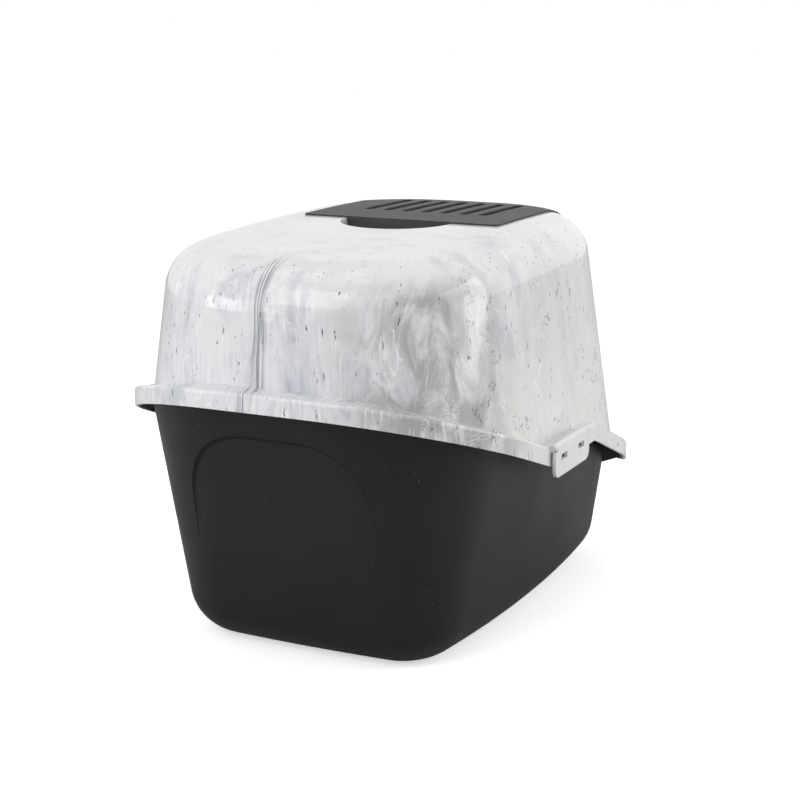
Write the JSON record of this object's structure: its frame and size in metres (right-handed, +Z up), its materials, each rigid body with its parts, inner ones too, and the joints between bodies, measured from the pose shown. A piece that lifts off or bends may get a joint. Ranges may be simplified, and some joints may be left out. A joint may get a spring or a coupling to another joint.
{
  "type": "covered litter box",
  "caption": "Covered litter tray with a marbled hood, slotted filter hatch, swinging entrance flap and a swing latch on each long side.",
  "frame": {"origin": "on the floor under the middle of the box", "axes": "+Z up, the entrance faces -Y, the long side runs along Y, +X to the right of someone who looks along +Y"},
  "size_m": [0.399, 0.5598, 0.3866],
  "materials": {
    "tray_plastic": "satin, lightly textured anthracite polypropylene",
    "hood_plastic": "glossy white polypropylene with a grey marble-effect surface",
    "hatch_plastic": "matte anthracite polypropylene",
    "grid_plastic": "matte anthracite polypropylene",
    "filter_pad": "carbon-loaded fleece",
    "flap_plastic": "satin anthracite polypropylene",
    "latch_plastic": "satin light grey-white polypropylene",
    "latch_pin_plastic": "satin light grey-white polypropylene",
    "hatch_pin_plastic": "matte anthracite polypropylene"
  },
  "bodies": {
    "tray": {"tray": "tray_plastic"},
    "hood": {"hood": "hood_plastic", "hatch_pin_left": "hatch_pin_plastic", "hatch_pin_right": "hatch_pin_plastic", "latch_pin_left": "latch_pin_plastic", "latch_pin_right": "latch_pin_plastic"},
    "hatch": {"vent_hatch": "hatch_plastic", "filter_grid": "grid_plastic", "carbon_filter": "filter_pad"},
    "door": {"door_flap": "flap_plastic"},
    "left_latch": {"latch_left": "latch_plastic"},
    "right_latch": {"latch_right": "latch_plastic"}
  },
  "joints": [
    {"name": "hood_lift", "type": "slide", "parent": "tray", "child": "hood", "axis": [0, 0, 1], "range_m": [0, 0.2]},
    {"name": "hatch_hinge", "type": "hinge", "parent": "hood", "child": "hatch", "pos_m": [0, -0.23278, 0.347], "axis": [1, 0, 0], "range_deg": [0, 95]},
    {"name": "door_swing", "type": "hinge", "parent": "hood", "child": "door", "pos_m": [0, -0.214, 0.291], "axis": [1, 0, 0], "range_deg": [-80, 80]},
    {"name": "left_latch_hinge", "type": "hinge", "parent": "hood", "child": "left_latch", "pos_m": [-0.196, 0.025, 0.1922], "axis": [0, 1, 0], "range_deg": [0, 110]},
    {"name": "right_latch_hinge", "type": "hinge", "parent": "hood", "child": "right_latch", "pos_m": [0.196, 0.025, 0.1922], "axis": [0, -1, 0], "range_deg": [0, 110]}
  ]
}
